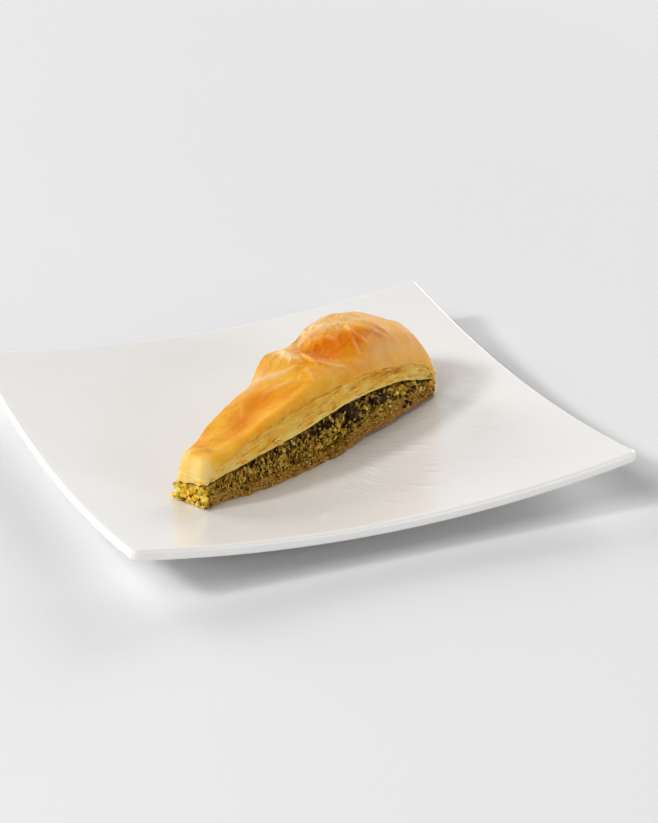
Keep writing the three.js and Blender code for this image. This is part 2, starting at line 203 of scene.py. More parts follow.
# Smooth height through stations of distance and height.
def height_at(stations, distance):
    x, y = np.array(stations, float).T
    slope = np.diff(y) / np.diff(x)
    tangent = np.concatenate(([slope[0]], (slope[:-1] + slope[1:]) / 2, [slope[-1]]))
    i = np.clip(np.searchsorted(x, distance) - 1, 0, len(slope) - 1)
    span = x[i + 1] - x[i]
    t = np.clip((distance - x[i]) / span, 0, 1)
    rise = (3 - 2 * t) * t * t
    bend = span * t * (1 - t) * (tangent[i] * (1 - t) - tangent[i + 1] * t)
    return y[i] * (1 - rise) + y[i + 1] * rise + bend


def smoothstep(value, start, end):
    t = np.clip((value - start) / (end - start), 0, 1)
    return t * t * (3 - 2 * t)


def mixed(a, b, share):
    return a + (b - a) * share


# Fall of a quarter circle, from 0 to 1.
def quarter_round(into):
    return 1 - np.sqrt(1 - into * into)


# Divisions drawn towards both ends, by a share of the full easing.
def crowded(t, ease):
    return t - ease * np.sin(tau * t) / tau


# Soft noise from about -1 to 1, at points given by their three coordinates.
def cloud(x, y, z):
    points = np.broadcast_arrays(x, y, z)
    flat = np.stack([axis.ravel() for axis in points], axis=1)
    return np.array([noise.noise(point) for point in flat]).reshape(points[0].shape)


# Thin crests where soft noise passes zero, from 0 to 1.
def crests(x, y, z, sharpness):
    return np.clip(1 - np.abs(cloud(x, y, z)) * sharpness, 0, 1) ** 2


# Height of the plate's upper surface over the table.
def dish_height(x, y):
    return MID_EDGE_HEIGHT + DISH_DEPTH * ((x * x + y * y) / PLATE_HALF_SIDE ** 2 - 1)


# World places, in metres, of points of the slice: distance from the cut tip, share of the width from
# the near side, millimetres beyond the cut faces and height above the plate.
def in_slice(distance, share, beyond, height):
    from_middle = 2 * share - 1
    lengthwise = distance + beyond * (2 * distance / SLICE_LENGTH - 1)
    lengthwise = lengthwise + TIP_SLANT * from_middle * (1 - smoothstep(distance, 0, CORNER_RAMP))
    radius = CUT_RADIUS + lengthwise

    def corner(corner_radius, ramp):
        corner_share = np.minimum(1, 2 * corner_radius / (radius * SLICE_ANGLE))
        into = np.clip((np.abs(from_middle) - 1 + corner_share) / corner_share, 0, 1)
        return corner_radius * quarter_round(into) * ramp * ramp * (3 - 2 * ramp)

    tray_ramp = np.clip((distance - SLICE_LENGTH) / CORNER_RAMP + 1, 0, 1)
    tip_ramp = np.clip(1 - distance / CORNER_RAMP, 0, 1)
    tip_corner = mixed(*TIP_CORNER_RADII, smoothstep(height, *TIP_CORNER_HEIGHTS))
    rounded = radius - corner(TRAY_CORNER_RADIUS, tray_ramp) + corner(tip_corner, tip_ramp)
    bearing = NEAR_SIDE_HEADING + SLICE_ANGLE * share + beyond * from_middle / radius
    x = APEX[0] + rounded * np.cos(bearing)
    y = APEX[1] + rounded * np.sin(bearing)
    return np.stack([x, y, dish_height(x, y) + height], axis=-1) * MM


def width_at(distance):
    return (CUT_RADIUS + distance) * SLICE_ANGLE


# Sum of round patches, each given by its place, its spreads and its strength.
def patches(along, up, places, up_scale=1):
    total = np.zeros(np.shape(along))
    for at, level, spread, level_spread, strength in places:
        away = ((along - at) / spread) ** 2 + ((up - level) * up_scale / level_spread) ** 2
        total += strength * np.exp(-away)
    return total


# Nearness to a fold's curve, from 0 to 1 on its crest, fading out at both ends.
def fold_share(distance, across, fold):
    start, middle, end, half_width, _ = fold
    way = np.linspace(0, 1, 9)[:, None]
    corners = [np.array((at, share * width_at(at))) for at, share in (start, middle, end)]
    curve = corners[0] * (1 - way) ** 2 + corners[1] * 2 * way * (1 - way) + corners[2] * way ** 2
    point = np.stack([distance, across], axis=-1)
    best = np.full(distance.shape, np.inf)
    taper = np.zeros(distance.shape)
    for i, (a, b) in enumerate(zip(curve[:-1], curve[1:])):
        t = np.clip((point - a) @ (b - a) / ((b - a) @ (b - a)), 0, 1)
        away = np.linalg.norm(point - a - t[..., None] * (b - a), axis=-1)
        closer = away < best
        best = np.where(closer, away, best)
        taper = np.where(closer, np.sin(pi * (i + t) / (len(curve) - 1)), taper)
    return np.exp(-(best / half_width) ** 2) * np.sqrt(np.clip(taper, 0, 1))


# The puffed form of the crust without its folds.
def crust_form(distance, share):
    edge = mixed(height_at(NEAR_EDGE, distance), height_at(FAR_EDGE, distance), share)
    from_edge = np.minimum(share / NEAR_SHOULDER, (1 - share) / FAR_SHOULDER)
    shoulder = 1 - (1 - np.minimum(1, from_edge)) ** SHOULDER_POWER
    height = mixed(edge, height_at(CROWN, distance), shoulder)
    roll_share = ROLL_SHARE * mixed(TIP_ROLL_WIDER, 1, smoothstep(distance, 0, 50))
    into_roll = 1 - np.minimum(1, share / roll_share)
    height = height - height_at(NEAR_ROLL, distance) * quarter_round(into_roll)
    into_tip = 1 - np.minimum(1, distance / TIP_ROUND[0])
    height = height - TIP_ROUND[1] * quarter_round(into_tip)
    return height + patches(distance, share, CRUST_SWELLS, width_at(distance))


# How high the folds stand for each unit of their listed rise, and how high the broad wrinkles, the fine
# creases and the blisters stand.
FOLD_RISE = 1.5
WRINKLE_RISE = 0.6
CREASE_RISE = 0.55
BLISTER_RISE = 0.3


# Folds, wrinkles and blisters of the top sheet over its puffed form, and how far a point is on a crest.
def crust_relief(distance, share):
    across = share * width_at(distance)
    rise = np.zeros(distance.shape)
    crest = np.zeros(distance.shape)
    for fold in FOLDS:
        here = fold_share(distance, across, fold)
        rise = np.maximum(rise, fold[-1] * here)
        crest = np.maximum(crest, here * min(1, 1.3 * fold[-1]))
    bend = 2.4 * cloud(distance / 9, across / 9, 3.1)
    other_bend = 2.4 * cloud(distance / 9, across / 9, 8.7)
    puffed = smoothstep(distance, 60, 82) * (1 - 0.6 * smoothstep(distance, 118, 134))
    puffed *= 0.15 + 0.85 * smoothstep(share, 0.1, 0.28)
    broad = puffed * crests((distance + bend) / 6, (across + other_bend) / 4.4, 0.4, 5)
    fine = crests((distance - other_bend) / 4.2, (across + bend) / 2.3, 7.7, 6.5)
    fine *= (0.3 + 0.7 * puffed) * smoothstep(cloud(distance / 8, across / 8, 31), -0.3, 0.2)
    blisters = cloud(distance / 4, across / 4, 12.5)
    edge_calm = smoothstep(share, 0, 0.08) * smoothstep(1 - share, 0, 0.06)
    rise = FOLD_RISE * rise + edge_calm * (WRINKLE_RISE * broad + CREASE_RISE * fine)
    rise = rise + BLISTER_RISE * blisters
    return rise, np.maximum(crest, 0.4 * broad + 0.5 * fine)


# A block divided along, across and up, of unit size, whose points are then put in their places.
def divided_block(along, across, up):
    bm = bmesh.new()
    bmesh.ops.create_cube(bm, size=1)
    bmesh.ops.translate(bm, verts=bm.verts, vec=(0.5, 0.5, 0.5))
    for axis, parts in enumerate((along, across, up)):
        edges = [e for e in bm.edges if abs(e.verts[0].co[axis] - e.verts[1].co[axis]) > 0.5]
        bmesh.ops.subdivide_edges(bm, edges=edges, cuts=parts - 1)
    return bm


def mesh_of(name, bm):
    mesh = bpy.data.meshes.new(name)
    bm.to_mesh(mesh)
    bm.free()
    return mesh


def points_of(mesh):
    points = np.empty(len(mesh.vertices) * 3)
    mesh.vertices.foreach_get("co", points)
    return points.reshape(-1, 3)


# The points and the faces of a small shape that is repeated.
def shape_of(bm):
    mesh = mesh_of("shape", bm)
    return points_of(mesh), [list(face.vertices) for face in mesh.polygons]


# One mesh of many closed shapes, each given by its points and its faces.
def joined_mesh(name, shapes):
    faces = []
    first = 0
    for points, shape_faces in shapes:
        faces.extend([first + i for i in face] for face in shape_faces)
        first += len(points)
    mesh = bpy.data.meshes.new(name)
    mesh.from_pydata(np.concatenate([points for points, _ in shapes]), [], faces)
    return mesh


def new_object(name, data):
    made = bpy.data.objects.new(name, data)
    bpy.context.scene.collection.objects.link(made)
    return made


# A finished piece from a mesh: its points are moved by place, which also gives named masks.
def piece(name, mesh, material, node, slot, place):
    points, masks = place(points_of(mesh))
    mesh.vertices.foreach_set("co", points.ravel())
    for mask, values in masks.items():
        mesh.attributes.new(mask, "FLOAT", "POINT").data.foreach_set("value", values)
    mesh.shade_smooth()
    mesh.materials.append(material)
    made = new_object(name, mesh)
    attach(made, "root")
    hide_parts(node)
    return made


# Materials are built from nodes: an input is given as a value, or as the socket that feeds it.
def add_node(tree, kind, inputs=(), **settings):
    node = tree.nodes.new("ShaderNode" + kind)
    for name, value in settings.items():
        setattr(node, name, value)
    for name, value in dict(inputs).items():
        if isinstance(value, bpy.types.NodeSocket):
            tree.links.new(value, node.inputs[name])
        else:
            node.inputs[name].default_value = value
    return node


def maths(tree, operation, *values):
    return add_node(tree, "Math", enumerate(values), operation=operation).outputs[0]


def ramp_node(tree, factor, stops):
    node = add_node(tree, "ValToRGB", {"Fac": factor})
    while len(node.color_ramp.elements) < len(stops):
        node.color_ramp.elements.new(0.5)
    for element, (position, colour) in zip(node.color_ramp.elements, stops):
        element.position = position
        element.color = (*colour, 1)
    return node.outputs["Color"]


def new_group(name, inputs, outputs):
    tree = bpy.data.node_groups.new(name, "ShaderNodeTree")
    for label, kind, value in inputs:
        socket = tree.interface.new_socket(label, in_out="INPUT", socket_type=kind)
        socket.default_value = value
    for label, kind in outputs:
        tree.interface.new_socket(label, in_out="OUTPUT", socket_type=kind)
    return tree, tree.nodes.new("NodeGroupInput").outputs, tree.nodes.new("NodeGroupOutput").inputs


# Mottling: how far a surface drifts from its mean, from 0 to 1, by a coarse and a fine noise.
def mottle_group():
    tree, given, out = new_group(
        "mottle",
        [("Vector", "NodeSocketVector", (0, 0, 0)), ("Patch size", "NodeSocketFloat", 5),
         ("Speck share", "NodeSocketFloat", 0.3), ("Contrast", "NodeSocketFloat", 1)],
        [("Mask", "NodeSocketFloat")])
    scale = maths(tree, "DIVIDE", 1000, given["Patch size"])
    broad = add_node(tree, "TexNoise", {"Vector": given["Vector"], "Scale": scale, "Detail": 3})
    finer = maths(tree, "MULTIPLY", scale, 5.3)
    fine = add_node(tree, "TexNoise", {"Vector": given["Vector"], "Scale": finer, "Detail": 2})
    both = add_node(tree, "Mix", {"Factor": given["Speck share"], "A": broad.outputs["Fac"],
                                  "B": fine.outputs["Fac"]})
    centred = maths(tree, "SUBTRACT", both.outputs["Result"], 0.5)
    spread = maths(tree, "MULTIPLY_ADD", centred, given["Contrast"], 0.5)
    tree.links.new(add_node(tree, "Clamp", {"Value": spread}).outputs[0], out["Mask"])
    return tree


# Gloss of syrup: roughness that changes between wet and drier patches.
def syrup_group():
    tree, given, out = new_group(
        "syrup_gloss",
        [("Vector", "NodeSocketVector", (0, 0, 0)), ("Wet", "NodeSocketFloat", 0.15),
         ("Dry", "NodeSocketFloat", 0.45), ("Patch size", "NodeSocketFloat", 6)],
        [("Roughness", "NodeSocketFloat")])
    scale = maths(tree, "DIVIDE", 1000, given["Patch size"])
    drift = add_node(tree, "TexNoise", {"Vector": given["Vector"], "Scale": scale, "Detail": 4})
    wet = add_node(tree, "MapRange", {"Value": drift.outputs["Fac"], "From Min": 0.35, "From Max": 0.65,
                                      "To Min": given["Wet"], "To Max": given["Dry"]})
    tree.links.new(wet.outputs["Result"], out["Roughness"])
    return tree


MOTTLE = mottle_group()
SYRUP = syrup_group()


# A material with its shader's plain values, its tree and its Object coordinates.
def new_material(name, **plain):
    material = bpy.data.materials.new(name)
    material.use_nodes = True
    tree = material.node_tree
    shader = tree.nodes["Principled BSDF"]
    for label, value in plain.items():
        shader.inputs[label.replace("_", " ")].default_value = value
    return material, tree, shader, tree.nodes.new("ShaderNodeTexCoord").outputs["Object"]


def mottle(tree, where, patch_size, speck_share=0.3, contrast=1):
    given = {"Vector": where, "Patch size": patch_size, "Speck share": speck_share, "Contrast": contrast}
    return add_node(tree, "Group", given, node_tree=MOTTLE).outputs["Mask"]


def syrup(tree, where, wet, dry, patch_size):
    given = {"Vector": where, "Wet": wet, "Dry": dry, "Patch size": patch_size}
    return add_node(tree, "Group", given, node_tree=SYRUP).outputs["Roughness"]


def mask_of(tree, name):
    return add_node(tree, "Attribute", attribute_name=name).outputs["Fac"]


def sum_of(tree, a, b, share=1):
    return maths(tree, "MULTIPLY_ADD", b, share, a)


# Feeds a shader with its colour and its roughness, and with bumps of a depth in millimetres.
def feed(tree, shader, colour, roughness, height, depth):
    bumps = add_node(tree, "Bump", {"Height": height, "Distance": depth * MM, "Strength": 1})
    tree.links.new(colour, shader.inputs["Base Color"])
    tree.links.new(roughness, shader.inputs["Roughness"])
    tree.links.new(bumps.outputs["Normal"], shader.inputs["Normal"])


def glaze_finish():
    material, tree, shader, where = new_material(
        "white_glaze", Coat_Weight=0.35, Coat_Roughness=0.1, Specular_IOR_Level=0.5)
    tone = ramp_node(tree, mottle(tree, where, 45, 0.1, 1.2),
                     [(0.2, (0.865, 0.856, 0.842)), (0.8, (0.885, 0.876, 0.862))])
    feed(tree, shader, tone, syrup(tree, where, 0.24, 0.27, 40), mottle(tree, where, 3.5, 0.4), 0.02)
    return material


# Bare fired clay under the foot, where the ring stands.
def foot_finish():
    material, tree, shader, where = new_material("glazed_foot", Coat_Roughness=0.1)
    height = add_node(tree, "SeparateXYZ", {"Vector": where}).outputs["Z"]
    glazed = add_node(tree, "MapRange", {"Value": height, "From Min": 0.5 * MM, "From Max": 0.9 * MM})
    clay = ramp_node(tree, mottle(tree, where, 3, 0.6, 1.5),
                     [(0.2, (0.55, 0.49, 0.41)), (0.8, (0.68, 0.62, 0.54))])
    colour = add_node(tree, "Mix", {0: glazed.outputs["Result"], 6: clay, 7: (0.81, 0.80, 0.78, 1)},
                      data_type="RGBA")
    rough = add_node(tree, "MapRange", {"Value": glazed.outputs["Result"], "To Min": 0.8, "To Max": 0.28})
    tree.links.new(colour.outputs[2], shader.inputs["Base Color"])
    tree.links.new(rough.outputs["Result"], shader.inputs["Roughness"])
    return material


def crust_finish():
    material, tree, shader, where = new_material(
        "glazed_crust", Subsurface_Weight=0.25, Subsurface_Scale=0.003, Subsurface_Radius=(1, 0.45, 0.12),
        Specular_IOR_Level=0.08, Coat_Weight=0.13, Coat_Roughness=0.22, Coat_IOR=1.4,
        Sheen_Weight=0.05, Sheen_Roughness=0.35, Sheen_Tint=(1, 0.8, 0.65, 1))
    # The bake mask is the baked colour with painted shade and painted highlights mixed in. The film mask is a
    # pale film with a painted sheen and painted highlights mixed in.
    bake = sum_of(tree, mask_of(tree, "bake"), mottle(tree, where, 8, 0.35, 2), 0.34)
    bake = sum_of(tree, bake, -0.17, 1)
    amber = ramp_node(tree, bake, [
        (0.05, (0.97, 0.67, 0.26)), (0.35, (0.97, 0.48, 0.035)), (0.62, (0.89, 0.32, 0.01)),
        (0.95, (0.74, 0.185, 0.002))])
    # The film's pale pink colour stands for the film itself and for a painted sheen and painted highlights.
    colour = add_node(tree, "Mix", {0: mask_of(tree, "film"), 6: amber, 7: (0.92, 0.60, 0.34, 1)},
                      data_type="RGBA")
    feed(tree, shader, colour.outputs[2], syrup(tree, where, 0.28, 0.5, 7),
         mottle(tree, where, 1.6, 0.5, 1.6), 0.2)
    return material


# Sheets seen on edge: a pale and golden pattern that runs along the slice in thin lines.
def layers_finish(name, stops, wet, dry, scatter):
    material, tree, shader, where = new_material(
        name, Subsurface_Weight=scatter, Subsurface_Scale=0.003, Subsurface_Radius=(1, 0.6, 0.2),
        Specular_IOR_Level=0.2, Coat_Weight=0.06, Coat_Roughness=0.25)
    along = add_node(tree, "UVMap", uv_map="layers").outputs["UV"]
    fibres = add_node(tree, "Mapping", {"Vector": along, "Scale": (0.16, 1, 1)}).outputs["Vector"]
    lines = mottle(tree, fibres, 1.1, 0.45, 2.2)
    tone = sum_of(tree, mask_of(tree, "bake"), lines, 0.26)
    tone = sum_of(tree, tone, mottle(tree, where, 5, 0.35, 2.6), 0.6)
    tone = sum_of(tree, tone, -0.43, 1)
    feed(tree, shader, ramp_node(tree, tone, stops), syrup(tree, where, wet, dry, 5), lines, 0.2)
    return material


# Crushed nuts and broken flakes, each crumb with a tone of its own.
def crumb_finish(name, stops, gloss):
    material, tree, shader, where = new_material(
        name, Subsurface_Weight=0.12, Subsurface_Scale=0.0015, Subsurface_Radius=(1, 0.8, 0.2),
        Specular_IOR_Level=0.13)
    tone = sum_of(tree, mask_of(tree, "tone"), mottle(tree, where, 0.9, 0.4, 1.8), 0.5)
    tone = sum_of(tree, tone, -0.25, 1)
    feed(tree, shader, ramp_node(tree, tone, stops), syrup(tree, where, gloss, gloss + 0.3, 1.5),
         mottle(tree, where, 0.5, 0.5, 1.5), 0.12)
    return material


# A point of the plate's outline at a turn about the middle, with short arcs at its corners.
def plate_outline(turn):
    corner = (np.floor(turn / (pi / 2)) + 0.5) * (pi / 2)
    from_corner = (turn - corner) / (pi / 4)
    straight = PLATE_HALF_SIDE - PLATE_CORNER_RADIUS
    along = straight * (1 - np.clip((np.abs(from_corner) - CORNER_ARC_SHARE) / (1 - CORNER_ARC_SHARE), 0, 1))
    side_x = PLATE_HALF_SIDE + PLATE_SIDE_BOW * (1 - (along / straight) ** 2)
    bearing = pi / 4 + np.clip(from_corner / CORNER_ARC_SHARE, -1, 1) * pi / 4
    on_arc = np.abs(from_corner) <= CORNER_ARC_SHARE
    before = from_corner < 0
    x = np.where(on_arc, straight + PLATE_CORNER_RADIUS * np.cos(bearing), np.where(before, side_x, along))
    y = np.where(on_arc, straight + PLATE_CORNER_RADIUS * np.sin(bearing), np.where(before, along, side_x))
    turned = corner - pi / 4
    return x * np.cos(turned) - y * np.sin(turned), x * np.sin(turned) + y * np.cos(turned)


# Height of the radial strokes in the well.
def well_strokes(radius, turn):
    draw = random.Random(7)
    rise = np.zeros(radius.shape)
    for _ in range(STROKES):
        at = STROKES_STRONGEST + draw.gauss(0, 1.3)
        strength = 0.3 + 0.7 * smoothstep(cos(at - STROKES_STRONGEST), -0.4, 0.7)
        start = draw.uniform(*STROKE_START)
        length = draw.uniform(*STROKE_LENGTH)
        width = draw.uniform(*STROKE_WIDTH)
        height = strength * draw.uniform(*STROKE_RISE)
        lean = draw.gauss(0, 0.035)
        t = (radius - start) / length
        near = np.flatnonzero((t > 0) & (t < 1))
        aside = (turn[near] - at - lean * (t[near] - 0.5) + pi) % tau - pi
        profile = np.exp(-(aside * radius[near] / width) ** 2)
        rise[near] += height * profile * np.sin(pi * t[near]) ** 0.7
    return np.minimum(rise, STROKE_RISE[1] * 1.5)


# A profile of radius and height, turned about the Z axis.
def turned_profile(profile, sectors, closed):
    bm = bmesh.new()
    corners = [bm.verts.new((radius, 0, height)) for radius, height in profile]
    pairs = list(zip(corners, corners[1:]))
    if closed:
        pairs.append((corners[-1], corners[0]))
    edges = [bm.edges.new(pair) for pair in pairs]
    bmesh.ops.spin(bm, geom=corners + edges, cent=(0, 0, 0), axis=(0, 0, 1), angle=tau, steps=sectors,
                   use_merge=True)
    bmesh.ops.remove_doubles(bm, verts=bm.verts, dist=1e-4)
    bmesh.ops.recalc_face_normals(bm, faces=bm.faces)
    return bm


def arc(centre_radius, centre_height, round_radius, start, end, steps):
    return [(centre_radius + round_radius * cos(mixed(start, end, i / steps)),
             centre_height + round_radius * sin(mixed(start, end, i / steps))) for i in range(steps + 1)]


def make_plate():
    inner = [(radius, 0) for radius in range(0, 12, 3)]
    well = [(radius, 0) for radius in np.arange(12, 104, 1.6)]
    brim = [(radius, 0) for radius in (104, 106.5)]
    top_round = arc(PLATE_HALF_SIDE - RIM_TOP_ROUND, -RIM_TOP_ROUND, RIM_TOP_ROUND, pi / 2, 0, 6)
    bottom_round = arc(PLATE_HALF_SIDE - RIM_BOTTOM_ROUND, RIM_BOTTOM_ROUND - PLATE_THICKNESS,
                       RIM_BOTTOM_ROUND, 0, -pi / 2, 4)
    underside = [(radius, -PLATE_THICKNESS) for radius in range(96, -1, -16)]
    profile = inner + well + brim + top_round + bottom_round + underside

    def place(points):
        x, y, below = points.T
        radius = np.hypot(x, y)
        turn = np.arctan2(y, x)
        share = radius / PLATE_HALF_SIDE
        outline_x, outline_y = plate_outline(turn)
        squareness = smoothstep(share, ROUND_WELL_SHARE, 1)
        x = mixed(x, outline_x * share, squareness)
        y = mixed(y, outline_y * share, squareness)
        strokes = np.where(below > -0.01, well_strokes(radius, turn), 0)
        return np.stack([x, y, dish_height(x, y) + below + strokes], axis=1) * MM, {}

    dish = mesh_of("plate_dish", turned_profile(profile, PLATE_SECTORS, False))
    piece("plate_dish", dish, glaze_finish(), "plate", "plate_glaze", place)

    top = dish_height(FOOT_OUTER_RADIUS, 0) - PLATE_THICKNESS + FOOT_SINK
    foot = [(FOOT_INNER_RADIUS - FOOT_FLARE, top)]
    foot += arc(FOOT_INNER_RADIUS + FOOT_EDGE_ROUND, FOOT_EDGE_ROUND, FOOT_EDGE_ROUND, -pi, -pi / 2, 4)
    foot += arc(FOOT_OUTER_RADIUS - FOOT_EDGE_ROUND, FOOT_EDGE_ROUND, FOOT_EDGE_ROUND, -pi / 2, 0, 4)
    foot += [(FOOT_OUTER_RADIUS + FOOT_FLARE, top)]
    ring = mesh_of("plate_foot", turned_profile(foot, FOOT_SECTORS, True))
    piece("plate_foot", ring, foot_finish(), "plate", "plate_glaze", lambda points: (points * MM, {}))


# The skin's thickness, and how far its lip stands out over the cut sides near the tray's wall.
CRUST_THICKNESS = 1
CRUST_OVERHANG = 0.25
SKIN_DIVISIONS = (420, 110, 3)

# The skin hangs down over the cut tip in this share of its length, and stands this far out there. Its
# hem lies below the top of the filling by so much at the near corner, by the slant more at the far
# one, and by a ragged line either way.
DRAPE_SHARE = 0.03
DRAPE_OUT = 0.3
HEM_BELOW = 0.3
HEM_SLANT = 2
HEM_RAGGED = 1.1


# The top sheets, glazed and puffed, as one skin whose lip stands out over the cut sides.
def make_crust():
    def place(points):
        along = crowded(points[:, 0], 0.25)
        hanging = np.clip(1 - along / DRAPE_SHARE, 0, 1)
        upright = np.sin(np.minimum(1, 3.5 * hanging) * pi / 2)
        distance = SLICE_LENGTH * np.clip((along - DRAPE_SHARE) / (1 - DRAPE_SHARE), 0, 1)
        share = crowded(points[:, 1], 0.6)
        level = points[:, 2]
        rise, crest = crust_relief(distance, share)
        form = crust_form(distance, share)
        across = share * width_at(distance)
        ragged = 0.35 * cloud(distance / 2.2, across / 2.2, 5) + 0.45 * cloud(distance / 8, across / 8, 8)
        lip = 1 - 4 * (level - 0.5) ** 2
        overhang = CRUST_OVERHANG * smoothstep(distance, 92, 108)
        beyond = (overhang + ragged * 0.6) * (0.35 + 0.65 * lip) * (1 - upright)
        hem = height_at(FILLING_TOP, distance) - HEM_BELOW - HEM_SLANT * share
        hem = hem + HEM_RAGGED * cloud(0.2, across / 1.7, 4)
        thickness = CRUST_THICKNESS * (1.1 + 0.7 * cloud(distance / 2.6, across / 2.6, 17))
        height = form + (np.minimum(rise, 2) - thickness * (1 - level)) * (1 - upright)
        height = mixed(height, hem, hanging)
        ridges = cloud(across / 7, height / 0.8, 14)
        beyond += upright * (DRAPE_OUT * level + 0.6 * ridges)
        # The bake mask mixes the baked colour with painted light: painted shade in narrow bands beside the
        # folds, and painted highlights that are paler on the ridges and crests.
        bake = 0.5 + patches(distance, share, CRUST_BAKE_AND_PAINTED_LIGHT, width_at(distance))
        streaks = cloud(distance / 9, across / 2.6, 21)
        film = patches(distance, share, CRUST_FILM_AND_PAINTED_SHEEN, width_at(distance)) * (0.8 + 0.7 * streaks)
        # The crests of the folds and wrinkles are painted paler in the film and the bake: painted highlights
        # where they would catch the light.
        film += 0.5 * crest * (1 - upright)
        bake = bake - 0.2 * crest * (1 - upright) + 0.14 * streaks + 0.35 * upright * ridges
        return in_slice(distance, share, beyond, height), {"bake": bake, "film": np.clip(film, 0, 0.85)}

    skin = mesh_of("glazed_crust", divided_block(*SKIN_DIVISIONS))
    piece("glazed_crust", skin, crust_finish(), "top_layers", "crust", place)


# A piece that runs through the slice from a start to the tray's wall, between the floor and the ceiling
# that limits gives. Its form gives each point's height, how far it stands out, and its colour. It has a
# map of the layers: along the cut faces, and up.
def layered_piece(name, mesh, start, limits, form, material, node, slot):
    kept = {}

    def place(points):
        distance = start + (SLICE_LENGTH - start) * crowded(points[:, 0], 0.35)
        share = crowded(points[:, 1], 0.5)
        across = share * width_at(distance)
        height, beyond, tone = form(distance, across, points[:, 2], *limits(distance, share))
        kept["map"] = np.stack([distance + across, height], axis=1) * MM
        return in_slice(distance, share, beyond, height), {"bake": tone}

    piece(name, mesh, material, node, slot, place)
    corners = np.empty(len(mesh.loops), int)
    mesh.loops.foreach_get("vertex_index", corners)
    mesh.uv_layers.new(name="layers").data.foreach_set("uv", kept["map"][corners].ravel())


# How finely a sheet is divided, and how much of its pitch it fills.
SHEET_DIVISIONS = (250, 6, 1)
SHEET_FILL = 0.8


# A stack of thin sheets, each a wavy closed plate with a ragged outline of its own. How far its cut
# edges stand out comes from edge, and its baked tone from the function after it.
def make_stack(name, sheets, start, limits, edge, bake, *dress):
    sheet, faces = shape_of(divided_block(*SHEET_DIVISIONS))
    draw = random.Random(name)
    own_reach = np.array([draw.uniform(-0.3, 0.25) for _ in range(sheets)])
    own_bake = np.array([draw.uniform(-0.12, 0.12) for _ in range(sheets)])
    number = np.repeat(np.arange(sheets), len(sheet))

    def form(distance, across, up, floor, ceiling):
        pitch = (ceiling - floor) / sheets
        wave = 0.55 * cloud(distance / 9, across / 9, number * 0.7)
        wave += 0.3 * cloud(distance / 2.8, across / 2.8, number * 5.1)
        thickness = SHEET_FILL + 0.5 * cloud(distance / 5, across / 5, number * 2.3 + 50)
        middle = floor + pitch * (number + 0.5 + wave)
        height = middle + pitch * np.clip(thickness, 0.3, 1.1) * (up - 0.5)
        height = np.clip(height, floor, ceiling)
        level = (height - floor) / (ceiling - floor)
        drift = cloud(distance / 7, across / 7, number * 3.7)
        ragged = cloud(distance / 1.5, across / 1.5, number * 3.7 + 9)
        beyond = edge(distance, level) + own_reach[number] + 0.5 * drift + 0.3 * ragged
        tone = bake(distance, level) + own_bake[number] + 0.15 * drift
        return height, beyond, tone

    layered_piece(name, joined_mesh(name, [(sheet, faces)] * sheets), start, limits, form, *dress)


def upper_limits(distance, share):
    floor = height_at(FILLING_TOP, distance) + LAYER_GAP / 2
    return floor, crust_form(distance, share) - 0.6 * CRUST_THICKNESS


def base_limits(distance, share):
    floor = 0.15 + height_at(BASE_LIFT, distance)
    return floor, height_at(FILLING_BOTTOM, distance) - LAYER_GAP / 2


# How far the cut edges of the upper sheets stand out: drawn in behind the skin that hangs over the
# tip, and under the lip and in the hollow under it near the tray's wall.
def upper_edge(distance, level):
    in_lip = smoothstep(distance, 88, 104)
    topmost = smoothstep(level, 0.6, 0.95) * mixed(0.15, -0.1, in_lip)
    hollow = np.exp(-((distance - 117) / 13) ** 4 - ((level - 0.68) / 0.24) ** 4)
    return 0.1 + topmost - 0.4 * hollow - 1.2 * (1 - smoothstep(distance, 0, 2.5))


def upper_bake(distance, level):
    towards_crust = 0.26 * smoothstep(level, 0.76, 1) * (1 - smoothstep(distance, 84, 100))
    return 0.24 + 0.12 * level + towards_crust + patches(distance, level, SIDE_BAKE)


# The soaked base swells out and draws in along the slice, and spreads most in the half near the tip.
def base_edge(distance, level):
    spread = smoothstep(distance, 10, 30) * (1 - smoothstep(distance, 84, 100)) * (1 - level) ** 0.6
    lumps = 0.9 * cloud(distance / 6.5, 0, 3.3) + 0.6 * cloud(distance / 2.6, level, 7.1)
    return 0.15 - 0.3 * level + 2 * spread + lumps


def base_bake(distance, level):
    golden_tip = 1 - smoothstep(distance, 4, 34)
    return 0.44 - 0.2 * level + 0.3 * smoothstep(distance, 138, 150) - 0.34 * golden_tip


# The backing lies this far in from the cut faces, and is this much darker than the sheets, as painted shade
# in the gaps between them.
BACKING_DIVISIONS = (180, 10, 6)
BACKING_INSET = 0.5
BACKING_SHADE = 0.12


# What shows between the sheets: the same stack further in, pressed together, and darker as painted shade.
def make_backing(name, start, limits, bake, *dress):
    def form(distance, across, up, floor, ceiling):
        return mixed(floor, ceiling, 0.03 + 0.94 * up), -BACKING_INSET, BACKING_SHADE + bake(distance, up)

    layered_piece(name, mesh_of(name, divided_block(*BACKING_DIVISIONS)), start, limits, form, *dress)


# Shapes that lie on the slice's cut faces. Each has its own points and faces, its turn and scale, its
# place as distance, share, beyond and height, whether it lies on an end face, and its tone.
def scatter(name, copies, material, node, slot):
    shapes, tones = [], []
    for (corners, faces), turn, (distance, share, beyond, height), on_end, tone in copies:
        along, out, up = (corners @ np.array(turn).T).T
        still = 0 * along
        lengthwise, across = (still, along / width_at(distance)) if on_end else (along, still)
        placed = in_slice(distance + lengthwise, share + across, beyond + out, height + up)
        shapes.append((placed, faces))
        tones.append(np.full(len(corners), tone))
    masks = {"tone": np.concatenate(tones)}
    piece(name, joined_mesh(name, shapes), material, node, slot, lambda points: (points, masks))


